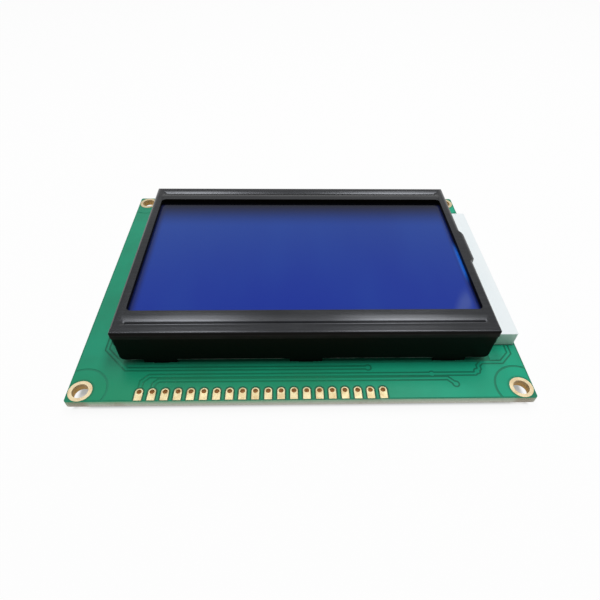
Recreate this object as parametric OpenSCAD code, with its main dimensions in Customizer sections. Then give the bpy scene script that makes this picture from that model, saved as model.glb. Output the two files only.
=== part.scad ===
// Graphic LCD module
// A blue dot-matrix cell is clamped under a stamped steel bezel, on a circuit board
// with a row of header holes in front and the backlight's white tongue on the right.
// Millimetres. X runs along the board, Y from the header edge to the rear edge, Z up.
// The origin is under the middle of the board, on the surface that the module lies on.

/* [Board] */
// Length of the circuit board, left to right
board_l = 93; // [90:0.5:100]
// Width of the circuit board, header edge to rear edge
board_w = 70; // [68:0.5:78]
// Thickness of the laminate
board_t = 1.6; // [1:0.1:2.4]
// Radius of the board's corners
board_corner_r = 0.6; // [0.2:0.1:1.2]

/* [Mounting holes] */
// Distance of each mounting hole from the board's left or right edge
mount_inset_x = 2.5; // [2.5:0.1:4]
// Distance of each mounting hole from the board's front or rear edge
mount_inset_y = 2.5; // [2.5:0.1:4]
// Diameter of a plated mounting hole
mount_hole_d = 3.2; // [2.4:0.1:3.6]
// Diameter of the ring round a mounting hole
mount_ring_d = 4.7; // [4:0.1:5]

/* [Header] */
// Number of header holes
pin_count = 20; // [16:1:22]
// Pitch of the header holes
pin_pitch = 2.54; // [2:0.01:2.6]
// Diameter of a plated header hole
pin_hole_d = 1; // [0.8:0.05:1.2]
// Distance of the first header hole from the left edge
header_inset_x = 14.1; // [11:0.1:18]
// Distance of the header row from the front edge
header_inset_y = 2.2; // [1.8:0.1:2.8]
// Width of a header pad
pad_w = 1.65; // [1.4:0.05:1.8]
// Bare laminate between a header pad and the front edge
pad_edge = 0.15; // [0.1:0.05:0.5]

/* [Copper] */
// Height of a track or the pour, with its solder mask
copper_t = 0.05; // [0.03:0.01:0.08]
// Wall of a plated hole, and height of its ring
plating_t = 0.05; // [0.03:0.01:0.08]
// Margin of the pour along the board's edges
pour_edge = 0.3; // [0.2:0.1:1]
// Radius of the pour's clearance round a mounting hole
pour_hole_r = 5.4; // [4:0.1:7]
// Gap between the pour and the copper round a corner hole
pour_hole_gap = 0.45; // [0.3:0.05:0.8]
// Margin of the pour round the bezel and the backlight's tongue
pour_margin = 0.3; // [0.2:0.1:0.6]
// Width of a track
track_w = 0.45; // [0.3:0.05:0.6]
// Bare gap beside a track
track_gap = 0.35; // [0.25:0.05:0.4]
// Bare gap round a header pad
pad_gap = 0.25; // [0.15:0.05:0.35]
// Diameter of a via
via_d = 0.95; // [0.7:0.05:1.2]

/* [Tracks] */
// Header row to the first lane beside it
lane_first = 2.6; // [2.2:0.1:3]
// First lane to the second
lane_pitch = 1.07; // [0.9:0.01:1.4]
// Second lane to the right-hand lane beyond the jog
lane_jog = 2.9; // [2.2:0.1:3.2]
// Third lane to the bezel's front wall
lane_bezel = 1.5; // [1.2:0.1:2]
// Left lane to the bezel's left side
left_lane_gap = 3.3; // [3:0.1:5]
// Length of the left lane, front to rear
left_lane_l = 16; // [12:0.5:30]
// Third lane's start, left of the first header hole
lane_lead = 3.8; // [2:0.1:5]
// Third lane's end, right of the first header hole
lane_run = 45.9; // [30:0.1:55]
// Bevel where the first header hole's track turns
first_bevel = 1.3; // [0.6:0.1:2]
// Bevel where the second header hole's track turns
second_bevel = 0.8; // [0.4:0.1:1.2]
// End of the second track from the right edge
second_end = 17; // [10:0.5:30]
// Last bevel of the second track
second_tail = 1.4; // [0.8:0.1:1.5]
// Jog of the first track from the right edge
jog_inset = 9.8; // [9:0.1:12]
// Lower bevel of the jog
jog_low = 1.2; // [0.6:0.1:1.4]
// Upper bevel of the jog
jog_high = 0.9; // [0.5:0.1:1.2]
// Right lane from the right edge
right_lane_inset = 2.2; // [1.5:0.1:3]
// Bevel where the right lane turns
side_bevel = 2.3; // [1.5:0.1:3]
// Via on the second lane, from the right edge
via_inset = 20; // [15:0.5:30]
// Bend of the rear tracks from the front edge
fan_inset = 18; // [14:0.5:20]

/* [Bezel] */
// Length of the window
window_l = 72.9; // [68:0.1:76]
// Width of the window
window_w = 39.8; // [36:0.1:42]
// Radius of the window's corners
window_corner_r = 1; // [0.5:0.1:2]
// Border at each end of the window
border_x = 2.3; // [1.8:0.1:3]
// Border along each side of the window
border_y = 5.9; // [5:0.1:6.5]
// Height of the bezel above the board
bezel_h = 9.8; // [8.5:0.1:12]
// Thickness of the steel sheet
sheet_t = 0.5; // [0.4:0.05:0.6]
// Outer radius of the bend round the top
bend_r = 1.2; // [0.65:0.05:1.3]
// Radius of the bezel's corners, seen from above
bezel_corner_r = 0.8; // [0.7:0.1:1.5]
// Bezel's middle to the right of the board's middle
bezel_off_x = 0.7; // [-1:0.1:1.5]
// Bezel's front wall from the board's front edge
bezel_inset_y = 9.1; // [9:0.1:11]
// Depth of the rim, which stands proud of the long walls
rim_h = 2; // [1.5:0.1:3]
// Step between the rim and the long walls
rim_step = 0.25; // [0.05:0.05:0.3]
// Depth of the lips on the short sides, from the top
lip_h = 4.2; // [3.2:0.1:5]
// Gap under the long walls, between their feet
wall_lift = 1; // [0.6:0.1:1.6]
// Radius of the long walls' lower corners
wall_corner_r = 1.2; // [0.6:0.1:2]
// Number of feet on each long wall
foot_count = 3; // [2:1:3]
// Width of a foot
foot_w = 6.8; // [5:0.1:8]
// Pitch of the feet
foot_pitch = 30.1; // [27:0.1:31]
// Width of the tab under each foot
tab_w = 3; // [2:0.1:3.6]
// Length of a tab behind the board
tab_drop = 1.6; // [1:0.1:2]
// Twist of a tab behind the board, in degrees
tab_twist = 32; // [20:1:45]
// Clearance of a tab in its slot
slot_clear = 0.1; // [0.1:0.05:0.3]
// Depth of the flange turned down round the window, below the sheet
flange_h = 0.4; // [0.3:0.1:1.3]
// Depth of the stamped bead
bead_d = 0.4; // [0.3:0.05:0.5]
// Width of the stamped bead's floor
bead_floor = 0.1; // [0.1:0.05:0.3]
// Radius of the bead's slope towards the window
bead_slope_r = 6; // [3:0.5:7]
// Radius of the bead's edge towards the long wall
bead_edge_r = 2; // [1.4:0.1:2.2]
// Radius of the slopes at the bead's ends
bead_end_r = 2.5; // [2:0.1:3]
// Bead's middle to the bezel's long edge
bead_inset = 2.8; // [2.1:0.1:3]
// End of the bead's floor to the bezel's short side
bead_end = 2.9; // [2.2:0.1:6]
// Length of the boss on the right lip
boss_l = 9.6; // [6:0.1:14]
// Height of the boss on the lip
boss_h = 0.7; // [0.1:0.1:0.9]
// Boss's middle to the rear of the bezel's middle
boss_off_y = 0.9; // [-6:0.1:6]

/* [Display cell] */
// Thickness of each glass
glass_t = 1.1; // [0.7:0.1:1.1]
// Thickness of a polariser
polariser_t = 0.2; // [0.15:0.01:0.25]
// Radius of the corners of the glasses and polarisers
plate_corner_r = 0.3; // [0.1:0.1:0.6]
// Clearance between the cell and the bezel
cell_clear = 0.3; // [0.2:0.05:0.5]
// Clearance between the flange and the front polariser
flange_clear = 0.02; // [0.01:0.01:0.05]
// Lap of the front polariser under the window's edge
polariser_lap = 0.8; // [0.6:0.1:1]
// Margin of the rear polariser on the lower glass
polariser_margin = 0.8; // [0.4:0.1:1.5]
// Thickness of a zebra connector
zebra_t = 2.2; // [1.6:0.1:2.4]
// Zebra connector's end to the end of the glass
zebra_end = 2.5; // [2:0.1:6]
// Clearance beside a zebra connector
zebra_clear = 0.3; // [0.2:0.05:0.4]

/* [Backlight] */
// Clearance between the backlight and the cell above it
light_clear = 0.1; // [0.05:0.05:0.2]
// Wall of the backlight's frame
frame_wall = 1.8; // [1.4:0.1:2.4]
// Thickness of the diffuser plate
diffuser_t = 2; // [1.5:0.1:2.5]
// Clearance round the diffuser plate and the lamp board
plate_clear = 0.1; // [0.05:0.05:0.2]
// Width of the ledge under the diffuser plate
diffuser_ledge = 0.8; // [0.5:0.1:1.2]
// Draft of the light well's sides
well_draft = 0.9; // [0.4:0.1:1.5]
// Thickness of the lamp board
lamp_board_t = 0.8; // [0.6:0.1:1.2]
// Height of the tongue
tongue_h = 3.45; // [2.8:0.05:4]
// Tongue's front face from the bezel's front wall
tongue_inset_front = 4.4; // [2:0.1:6]
// Tongue's rear face from the bezel's rear wall
tongue_inset_rear = 3.2; // [1.2:0.1:4]
// Tongue's end from the board's right edge
tongue_inset_end = 0.3; // [0:0.1:0.6]
// Chamfer of the tongue's outer corners
tongue_chamfer = 0.2; // [0.1:0.1:1]
// Length of a lamp
lamp_l = 2; // [1.6:0.1:2.4]
// Width of a lamp
lamp_w = 1.25; // [0.8:0.05:1.6]
// Height of a lamp
lamp_h = 0.8; // [0.4:0.1:1.2]
// Pitch of the lamps along the board
lamp_pitch_x = 8; // [6:0.5:12]
// Pitch of the lamps across the board
lamp_pitch_y = 9; // [6:0.5:12]
// Diameter of a backlight terminal
terminal_d = 0.7; // [0.5:0.05:0.9]
// Distance between the two terminals
terminal_span = 10; // [6:0.5:16]
// Distance of the terminals from the right edge
terminal_inset = 2.6; // [2.4:0.1:3.2]
// Clearance of a terminal in its holes
terminal_clear = 0.15; // [0.1:0.05:0.2]
// Diameter of the head of a terminal
terminal_head_d = 1.5; // [1.3:0.1:1.8]
// Height of the head of a terminal
terminal_head_h = 0.4; // [0.3:0.1:0.6]
// Length of a terminal behind the board
terminal_tail = 1.1; // [0.8:0.1:1.4]
// Diameter of the ring round a terminal hole
terminal_ring_d = 2; // [1.7:0.1:2.4]

/* [Rear] */
// Diameter of a resin cap over a driver die
cap_d = 18; // [14:0.5:20]
// Height of a resin cap
cap_h = 1.8; // [1.4:0.1:2.2]
// Height of a resin cap's edge
cap_edge_h = 0.35; // [0.2:0.05:0.5]
// Column driver caps from the board's left and right edges
cap_inset = 22.5; // [20:0.5:24]
// Column driver caps towards the rear from the bezel's middle
column_cap_y = 10; // [6:0.5:11]
// Row driver cap towards the front from the bezel's middle
row_cap_y = 9; // [8:0.5:12]
// Width of the printed dam ring round a cap
dam_w = 0.8; // [0.5:0.1:1.2]
// Height of the printed dam ring
dam_t = 0.04; // [0.02:0.01:0.06]
// Height of a component land
land_t = 0.05; // [0.03:0.01:0.08]
// Length of a chip part
chip_l = 2; // [1.6:0.1:2.4]
// Width of a chip part
chip_w = 1.25; // [0.8:0.05:1.4]
// Length of a chip part's metal end
chip_end = 0.4; // [0.25:0.05:0.5]
// How much the metal ends stand proud of the body
chip_skin = 0.03; // [0.02:0.01:0.05]
// Reach of the solder beyond a chip's end
solder_reach = 0.45; // [0.3:0.05:0.6]
// Height of a chip resistor
resistor_h = 0.5; // [0.4:0.05:0.6]
// Number of chip resistors
resistor_count = 6; // [3:1:7]
// Height of a chip capacitor
capacitor_h = 0.9; // [0.6:0.05:1.2]
// Number of chip capacitors
capacitor_count = 3; // [2:1:4]
// Pitch of the chip parts in a column
chip_pitch = 3; // [2.4:0.1:3.2]
// Middle of the resistors' column from the board's left edge
resistor_inset = 10.5; // [8:0.5:12]
// Middle of the capacitors' column from the board's right edge
capacitor_inset = 10; // [9:0.5:11]
// First chip part from the front edge
chip_first_y = 15; // [13:0.5:17]
// Length of the converter chip's body
converter_l = 4.9; // [4.5:0.1:5.3]
// Width of the converter chip's body
converter_w = 3.9; // [3.5:0.1:4.3]
// Height of the converter chip's body
converter_h = 1.4; // [1.1:0.05:1.5]
// Gap between the converter chip's body and the lands
converter_lift = 0.12; // [0.08:0.01:0.2]
// Slope of the converter chip's sides
converter_draft = 0.12; // [0.05:0.01:0.2]
// Pitch of the converter chip's leads
lead_pitch = 1.27; // [1.2:0.01:1.27]
// Width of a converter lead
lead_w = 0.42; // [0.35:0.01:0.5]
// Thickness of a converter lead
lead_t = 0.2; // [0.15:0.01:0.25]
// Reach of a converter lead beyond the body
lead_reach = 1.05; // [0.9:0.05:1.2]
// Length of a converter lead's foot
lead_foot = 0.5; // [0.4:0.05:0.6]
// Middle of the converter chip from the front edge
converter_y = 30; // [28:0.5:32]

/* [Hidden] */
$fn = 64;

// How far a cutting shape runs past what it cuts
past = 1;

// Levels
z_rear = max(cap_h, tab_drop);
z_front = z_rear + board_t;
z_bezel = z_front + bezel_h;
z_glass = z_bezel - sheet_t - flange_h - flange_clear - polariser_t;
z_seam = z_glass - glass_t;
z_cell = z_seam - glass_t - polariser_t;
z_light = z_cell - light_clear;
z_ledge = z_light - diffuser_t;
z_lamps = z_front + lamp_board_t;

// Board
board_left = -board_l / 2;
board_right = board_l / 2;
board_front = -board_w / 2;
mount_x = board_l / 2 - mount_inset_x;
mount_y = board_w / 2 - mount_inset_y;
header_x = board_left + header_inset_x;
header_y = board_front + header_inset_y;
pad_reach = header_inset_y - pad_edge;

// Bezel, inside and out
bezel_l = window_l + 2 * border_x;
bezel_w = window_w + 2 * border_y;
bezel_off_y = board_front + bezel_inset_y + bezel_w / 2;
wall_w = bezel_w - 2 * rim_step;
room_l = bezel_l - 2 * sheet_t;
room_w = wall_w - 2 * sheet_t;
wall_mid = wall_w / 2 - sheet_t / 2;
lip_z = z_bezel - lip_h;
rim_z = z_bezel - rim_h;
jog_z = rim_z + sheet_t / 2;
bead_y = bezel_w / 2 - bead_inset;
bead_rise = 0.02;
bead_inner = bead_floor / 2 + bead_reach(bead_slope_r);
bead_outer = bead_floor / 2 + bead_reach(bead_edge_r);
bead_tip = bezel_l / 2 - bead_end + bead_reach(bead_end_r);
bezel_left = bezel_off_x - bezel_l / 2;
bezel_front = bezel_off_y - bezel_w / 2;

// Display cell and connectors
cell_l = room_l - 2 * cell_clear;
cell_w = room_w - 2 * cell_clear;
zebra_mid = room_w / 2 - cell_clear - zebra_t / 2;
ledge_w = zebra_t + zebra_clear;
lower_w = cell_w - 2 * ledge_w;
zebra_l = cell_l - 2 * zebra_end;

// Backlight
frame_l = cell_l;
frame_w = lower_w;
frame_right = bezel_off_x + frame_l / 2;
plate_l = frame_l - 2 * frame_wall;
plate_w = frame_w - 2 * frame_wall;
tongue_front = bezel_front + tongue_inset_front;
tongue_w = bezel_w - tongue_inset_front - tongue_inset_rear;
tongue_off_y = tongue_front + tongue_w / 2;
terminal_x = board_right - terminal_inset;
terminal_pad = terminal_span + 2 * terminal_ring_d;
lamp_reach = board_right - terminal_inset + terminal_ring_d - frame_right + frame_wall;
well_l = plate_l - 2 * diffuser_ledge;
well_w = plate_w - 2 * diffuser_ledge;
lamp_cols = floor((well_l - 2 * well_draft - 2 * lamp_l) / lamp_pitch_x) + 1;
lamp_rows = floor((well_w - 2 * well_draft - 2 * lamp_w) / lamp_pitch_y) + 1;

// Rear side
cap_spots = [
    [0, bezel_off_y - row_cap_y],
    [board_left + cap_inset, bezel_off_y + column_cap_y],
    [board_right - cap_inset, bezel_off_y + column_cap_y]
];
dam_d = cap_d + 2 * dam_w;
z_land = z_rear - land_t;
chip_y0 = board_front + chip_first_y;
resistor_spots = [
    for (i = [0:resistor_count - 1]) [board_left + resistor_inset, chip_y0 + i * chip_pitch]
];
capacitor_spots = [
    for (i = [0:capacitor_count - 1]) [board_right - capacitor_inset, chip_y0 + i * chip_pitch]
];
converter_spot = [board_right - capacitor_inset, board_front + converter_y];

// Front tracks: a long run from the left, and two that leave the first header pads
lane_1 = header_y + lane_first;
lane_2 = lane_1 + lane_pitch;
lane_3 = bezel_front - lane_bezel;
lane_4 = lane_2 + lane_jog;
left_lane = bezel_left - left_lane_gap;
right_lane = board_right - right_lane_inset;
jog_x = board_right - jog_inset;
long_run = [
    [left_lane, lane_3 + left_lane_l],
    [left_lane, lane_3 + header_x - lane_lead - left_lane],
    [header_x - lane_lead, lane_3],
    [header_x + lane_run, lane_3]
];
first_run = [
    [pin_x(0), header_y],
    [pin_x(0), lane_2 - first_bevel],
    [pin_x(0) + first_bevel, lane_2],
    [jog_x - jog_low, lane_2],
    [jog_x, lane_2 + jog_low],
    [jog_x, lane_4 - jog_high],
    [jog_x + jog_high, lane_4],
    [right_lane - side_bevel, lane_4],
    [right_lane, lane_4 + side_bevel],
    [right_lane, tongue_front - pour_margin]
];
second_run = [
    [pin_x(1), header_y],
    [pin_x(1), lane_1 - second_bevel],
    [pin_x(1) + second_bevel, lane_1],
    [board_right - second_end, lane_1],
    [board_right - second_end + second_tail, lane_1 - second_tail]
];
front_runs = [long_run, first_run, second_run];
front_vias = [
    long_run[0], long_run[3], second_run[4],
    (first_run[3] + first_run[4]) / 2, [board_right - via_inset, lane_2]
];

// Rear tracks: from the header straight to the left and middle caps, and fanned to the right one
tab_keep = tab_w / 2 + slot_clear + track_w;
left_pins = [for (i = [0:pin_count - 1]) if (runs_to(pin_x(i), cap_spots[1])) i];
middle_pins = [for (i = [0:pin_count - 1]) if (runs_to(pin_x(i), cap_spots[0])) i];
right_pins = [pin_count - 3, pin_count - 2, pin_count - 1];
fan_shift = cap_spots[2][0] - pin_x(pin_count - 1);
fan_y = board_front + fan_inset;
rear_runs = concat(
    [for (i = left_pins) [[pin_x(i), header_y], [pin_x(i), cap_spots[1][1]]]],
    [for (i = middle_pins) [[pin_x(i), header_y], [pin_x(i), cap_spots[0][1]]]],
    [for (i = right_pins) [
        [pin_x(i), header_y],
        [pin_x(i), fan_y],
        [pin_x(i) + fan_shift, fan_y + fan_shift],
        [pin_x(i) + fan_shift, cap_spots[2][1]]
    ]]
);

// Whether a straight rear track at x meets a cap well inside its edge and misses the tabs
function runs_to(x, spot) =
    abs(x - spot[0]) < cap_d / 2 - 2 * dam_w
    && min([for (i = [0:foot_count - 1]) abs(x - foot_x(i))]) > tab_keep;

// Reach of a bead's round side of radius r, from the floor to the sheet's face
function bead_reach(r) = sqrt((bead_d + bead_rise) * (2 * r - bead_d - bead_rise));

function pin_x(i) = header_x + i * pin_pitch;
function foot_x(i) = bezel_off_x + (i - (foot_count - 1) / 2) * foot_pitch;

// Direction from one point to the next, and its left-hand normal
function heading(a, b) = (b - a) / norm(b - a);
function left_of(v) = [-v[1], v[0]];

// A path with both ends moved outwards along its own direction
function stretched(path, reach) = [
    for (i = [0:len(path) - 1])
        i == 0 ? path[0] - reach * heading(path[0], path[1])
        : i == len(path) - 1 ? path[i] + reach * heading(path[i - 1], path[i])
        : path[i]
];

// A point beside a path, at distance d to its left, with mitred bends
function beside(path, i, d) =
    let (
        before = heading(path[max(i - 1, 0)], path[max(i, 1)]),
        after = heading(path[min(i, len(path) - 2)], path[min(i + 1, len(path) - 1)]),
        a = left_of(before),
        b = left_of(after)
    )
    path[i] + d * (a + b) / (1 + a * b);

// Strip of even width along a path
module strip(path, w, reach = 0) {
    line = stretched(path, reach);
    last = len(line) - 1;
    polygon([
        for (i = [0:last]) beside(line, i, w / 2),
        for (i = [last:-1:0]) beside(line, i, -w / 2)
    ]);
}

module rounded_rect(l, w, r) {
    square([l - 2 * r, w], center = true);
    square([l, w - 2 * r], center = true);
    for (sx = [-1, 1], sy = [-1, 1])
        translate([sx * (l / 2 - r), sy * (w / 2 - r)])
            circle(r);
}

// Upright outline with its two top corners rounded
module arch(w, h, r) {
    translate([-w / 2, 0])
        square([w, h - r]);
    translate([-w / 2 + r, 0])
        square([w - 2 * r, h]);
    for (s = [-1, 1])
        translate([s * (w / 2 - r), h - r])
            circle(r);
}

// Block with rounded top edges and rounded upright corners, standing on z = 0
module pan(l, w, h, top_r, corner_r) {
    intersection() {
        linear_extrude(h)
            rounded_rect(l, w, corner_r);
        translate([-l / 2, 0, 0])
            rotate([90, 0, 90])
                linear_extrude(l)
                    arch(w, h, top_r);
        translate([0, w / 2, 0])
            rotate([90, 0, 0])
                linear_extrude(w)
                    arch(l, h, top_r);
    }
}

// Plated hole through the board, with a ring on the rear face, and on the front unless covered
module plated_hole(hole_d, covered = false) {
    rise = covered ? 0 : plating_t;
    difference() {
        union() {
            translate([0, 0, z_rear - plating_t])
                cylinder(d = hole_d + 2 * plating_t, h = board_t + plating_t + rise);
            for (z = covered ? [z_rear - plating_t] : [z_rear - plating_t, z_front])
                translate([0, 0, z])
                    linear_extrude(plating_t)
                        children();
        }
        translate([0, 0, z_rear - past])
            cylinder(d = hole_d, h = board_t + 2 * past);
    }
}

module at_mounts() {
    for (sx = [-1, 1], sy = [-1, 1])
        translate([sx * mount_x, sy * mount_y])
            children();
}

module at_pins() {
    for (i = [0:pin_count - 1])
        translate([pin_x(i), header_y])
            children();
}

module at_terminals() {
    for (s = [-1, 1])
        translate([terminal_x, tongue_off_y + s * terminal_span / 2])
            children();
}

// Both long walls' feet; the second pass faces the rear
module at_feet() {
    for (side = [-1, 1], i = [0:foot_count - 1])
        translate([foot_x(i), bezel_off_y + side * wall_mid])
            children();
}

// Places a part upside down on the rear lands
module on_rear(spot) {
    translate([spot[0], spot[1], z_land])
        rotate([180, 0, 0])
            children();
}

// Outline of a header pad: round behind, square towards the front edge
module pad_outline(grow = 0) {
    circle(pad_w / 2 + grow);
    translate([-pad_w / 2 - grow, -pad_reach - grow])
        square([pad_w + 2 * grow, pad_reach + grow]);
}

module printed_board() {
    color("seagreen")
        difference() {
            translate([0, 0, z_rear])
                linear_extrude(board_t)
                    rounded_rect(board_l, board_w, board_corner_r);
            translate([0, 0, z_rear - past]) {
                at_mounts()
                    cylinder(d = mount_hole_d + 2 * plating_t, h = board_t + 2 * past);
                at_pins()
                    cylinder(d = pin_hole_d + 2 * plating_t, h = board_t + 2 * past);
                at_terminals()
                    cylinder(
                        d = terminal_d + 2 * terminal_clear + 2 * plating_t,
                        h = board_t + 2 * past
                    );
                at_feet()
                    linear_extrude(board_t + 2 * past)
                        square([tab_w + 2 * slot_clear, sheet_t + 2 * slot_clear], center = true);
            }
        }
}

// Area of the pour before the tracks and pads are cleared from it
module pour_area() {
    difference() {
        square([board_l - 2 * pour_edge, board_w - 2 * pour_edge], center = true);
        translate([bezel_off_x, bezel_off_y])
            square([bezel_l + 2 * pour_margin, bezel_w + 2 * pour_margin], center = true);
        translate([bezel_off_x, tongue_front - pour_margin])
            square([board_l, tongue_w + 2 * pour_margin]);
        at_mounts()
            circle(pour_hole_r);
    }
}

// Copper round each corner hole, cut off by the board's corner
module hole_copper() {
    for (sx = [-1, 1], sy = [-1, 1])
        scale([sx, sy])
            difference() {
                translate([mount_x, mount_y])
                    circle(pour_hole_r - pour_hole_gap);
                translate([mount_x, mount_y])
                    circle(d = mount_ring_d);
                translate([mount_x, mount_y])
                    square(2 * pour_hole_r);
                translate([board_l / 2 - pour_edge, 0])
                    square(board_l);
                translate([0, board_w / 2 - pour_edge])
                    square(board_l);
            }
}

module front_copper() {
    color("mediumseagreen")
        translate([0, 0, z_front]) {
            linear_extrude(copper_t)
                difference() {
                    pour_area();
                    at_pins()
                        pad_outline(pad_gap);
                    for (run = front_runs)
                        strip(run, track_w + 2 * track_gap, track_gap);
                    for (via = front_vias)
                        translate(via)
                            circle(d = via_d + 2 * track_gap);
                }
            linear_extrude(copper_t)
                hole_copper();
        }
}

module front_tracks() {
    color("mediumseagreen")
        translate([0, 0, z_front])
            difference() {
                union() {
                    for (run = front_runs)
                        linear_extrude(copper_t)
                            strip(run, track_w);
                    for (via = front_vias)
                        translate(via)
                            cylinder(d = via_d, h = copper_t);
                }
                translate([0, 0, -past])
                    linear_extrude(copper_t + 2 * past)
                        at_pins()
                            pad_outline();
            }
}

module rear_tracks() {
    color("mediumseagreen")
        translate([0, 0, z_rear - copper_t])
            linear_extrude(copper_t)
                difference() {
                    for (run = rear_runs)
                        strip(run, track_w);
                    at_pins()
                        pad_outline();
                    for (spot = cap_spots)
                        translate(spot)
                            circle(d = dam_d);
                }
}

module mounting_rings() {
    color("wheat")
        at_mounts()
            plated_hole(mount_hole_d)
                circle(d = mount_ring_d);
}

module header_pads() {
    color("gold")
        at_pins()
            plated_hole(pin_hole_d)
                pad_outline();
}

// Front view of a long wall: rounded lower corners, and feet that reach the board
module wall_outline() {
    difference() {
        translate([-room_l / 2, wall_lift])
            square([room_l, bezel_h - lip_h - wall_lift]);
        for (s = [-1, 1])
            translate([s * room_l / 2, wall_lift])
                difference() {
                    square(2 * wall_corner_r, center = true);
                    translate([-s * wall_corner_r, wall_corner_r])
                        circle(wall_corner_r);
                }
    }
    for (i = [0:foot_count - 1])
        translate([foot_x(i) - bezel_off_x - foot_w / 2, 0])
            square([foot_w, wall_lift + sheet_t]);
}

// Boss seen from above, on the right lip, widening as it reaches into the border
module boss_outline(reach) {
    polygon([
        [-reach, -boss_l / 2 - reach],
        [boss_h, -boss_l / 2 + boss_h],
        [boss_h, boss_l / 2 - boss_h],
        [-reach, boss_l / 2 + reach]
    ]);
}

// Drawn rim, long walls and short lips, hollow and with the window cut out
module bezel_shell() {
    difference() {
        union() {
            translate([0, 0, rim_z])
                pan(bezel_l, bezel_w, rim_h, bend_r, bezel_corner_r);
            intersection() {
                translate([0, 0, z_front])
                    linear_extrude(bezel_h - bend_r)
                        rounded_rect(bezel_l, wall_w, bezel_corner_r);
                union() {
                    translate([-bezel_l, -bezel_w, lip_z])
                        cube([2 * bezel_l, 2 * bezel_w, lip_h]);
                    translate([0, bezel_w, z_front])
                        rotate([90, 0, 0])
                            linear_extrude(2 * bezel_w)
                                wall_outline();
                }
            }
            translate([bezel_l / 2, boss_off_y, lip_z])
                linear_extrude(lip_h - bend_r)
                    boss_outline(0);
            intersection() {
                translate([boss_h, 0, rim_z])
                    pan(bezel_l, bezel_w, rim_h, bend_r, bezel_corner_r);
                translate([bezel_l / 2, boss_off_y, rim_z])
                    linear_extrude(2 * rim_h)
                        boss_outline(bend_r);
            }
        }
        translate([0, 0, jog_z])
            pan(
                bezel_l - 2 * sheet_t, bezel_w - 2 * sheet_t, z_bezel - sheet_t - jog_z,
                bend_r - sheet_t, bezel_corner_r - sheet_t
            );
        translate([0, 0, z_front - past])
            linear_extrude(jog_z - z_front + past)
                rounded_rect(room_l, room_w, bezel_corner_r - sheet_t);
        translate([room_l / 2, boss_off_y, lip_z - past])
            linear_extrude(lip_h - rim_h + past)
                boss_outline(0);
    }
}

// Section of the bead from low to high, with the long wall towards +Y and its round sides set in by skin
module bead_section(low, high, skin) {
    difference() {
        translate([-bead_inner, low])
            square([bead_inner + bead_outer, high - low]);
        translate([-bead_inner, bead_rise - bead_slope_r])
            circle(bead_slope_r - skin);
        translate([bead_outer, bead_rise - bead_edge_r])
            circle(bead_edge_r - skin);
    }
}

// Front view of the bead's length, with sloping ends set in by skin
module bead_length(skin) {
    difference() {
        translate([-bead_tip, -bead_end_r])
            square([2 * bead_tip, bead_end_r + past]);
        for (s = [-1, 1])
            translate([s * bead_tip, bead_rise - bead_end_r])
                circle(bead_end_r - skin);
    }
}

// The section drawn along the bezel and closed by the sloping ends
module bead_form(low, high, skin) {
    intersection() {
        translate([-bezel_l / 2, 0, 0])
            rotate([90, 0, 90])
                linear_extrude(bezel_l)
                    bead_section(low, high, skin);
        translate([0, border_y, 0])
            rotate([90, 0, 0])
                linear_extrude(2 * border_y)
                    bead_length(skin);
    }
}

// The two beads' places, each with the long wall towards its own +Y
module at_beads() {
    for (turn = [0, 180])
        rotate([0, 0, turn])
            translate([0, bead_y, z_bezel])
                children();
}

module bezel() {
    color([0.13, 0.13, 0.14])
        union() {
            translate([bezel_off_x, bezel_off_y, 0])
                difference() {
                    union() {
                        bezel_shell();
                        at_beads()
                            bead_form(-bead_d - sheet_t, -sheet_t / 2, sheet_t);
                        translate([0, 0, z_bezel - sheet_t - flange_h])
                            linear_extrude(flange_h + sheet_t / 2)
                                rounded_rect(
                                    window_l + 2 * sheet_t, window_w + 2 * sheet_t,
                                    window_corner_r + sheet_t
                                );
                    }
                    at_beads()
                        bead_form(-bead_d, past, 0);
                    translate([0, 0, z_bezel - sheet_t - flange_h - past])
                        linear_extrude(flange_h + sheet_t + 2 * past)
                            rounded_rect(window_l, window_w, window_corner_r);
                }
            at_feet() {
                translate([0, 0, z_rear - sheet_t / 2])
                    linear_extrude(board_t + sheet_t)
                        square([tab_w, sheet_t], center = true);
                translate([0, 0, z_rear - tab_drop])
                    rotate([0, 0, tab_twist])
                        linear_extrude(tab_drop)
                            square([tab_w, sheet_t], center = true);
            }
        }
}

// Plate centred under the window
module cell_plate(l, w, t, z) {
    translate([bezel_off_x, bezel_off_y, z])
        linear_extrude(t)
            rounded_rect(l, w, plate_corner_r);
}

module front_polariser() {
    color("midnightblue")
        cell_plate(
            window_l + 2 * polariser_lap, window_w + 2 * polariser_lap, polariser_t, z_glass
        );
}

module upper_glass() {
    color("steelblue")
        cell_plate(cell_l, cell_w, glass_t, z_seam);
}

module lower_glass() {
    color("steelblue")
        cell_plate(cell_l, lower_w, glass_t, z_seam - glass_t);
}

module rear_polariser() {
    color("midnightblue")
        cell_plate(
            cell_l - 2 * polariser_margin, lower_w - 2 * polariser_margin, polariser_t, z_cell
        );
}

// Rubber strip with conducting layers, squeezed between the board and the glass
module zebra(side) {
    translate([bezel_off_x, bezel_off_y + side * zebra_mid, z_front])
        linear_extrude(z_seam - z_front)
            square([zebra_l, zebra_t], center = true);
}

module front_zebra() {
    color("dimgray")
        zebra(-1);
}

module rear_zebra() {
    color("dimgray")
        zebra(1);
}

// Light well with sloping sides, wider at the diffuser
module light_well() {
    h = z_ledge - z_front;
    intersection() {
        translate([-well_l / 2, 0, z_front])
            rotate([90, 0, 90])
                linear_extrude(well_l)
                    well_outline(well_w, h);
        translate([0, well_w / 2, z_front])
            rotate([90, 0, 0])
                linear_extrude(well_w)
                    well_outline(well_l, h);
    }
}

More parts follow.
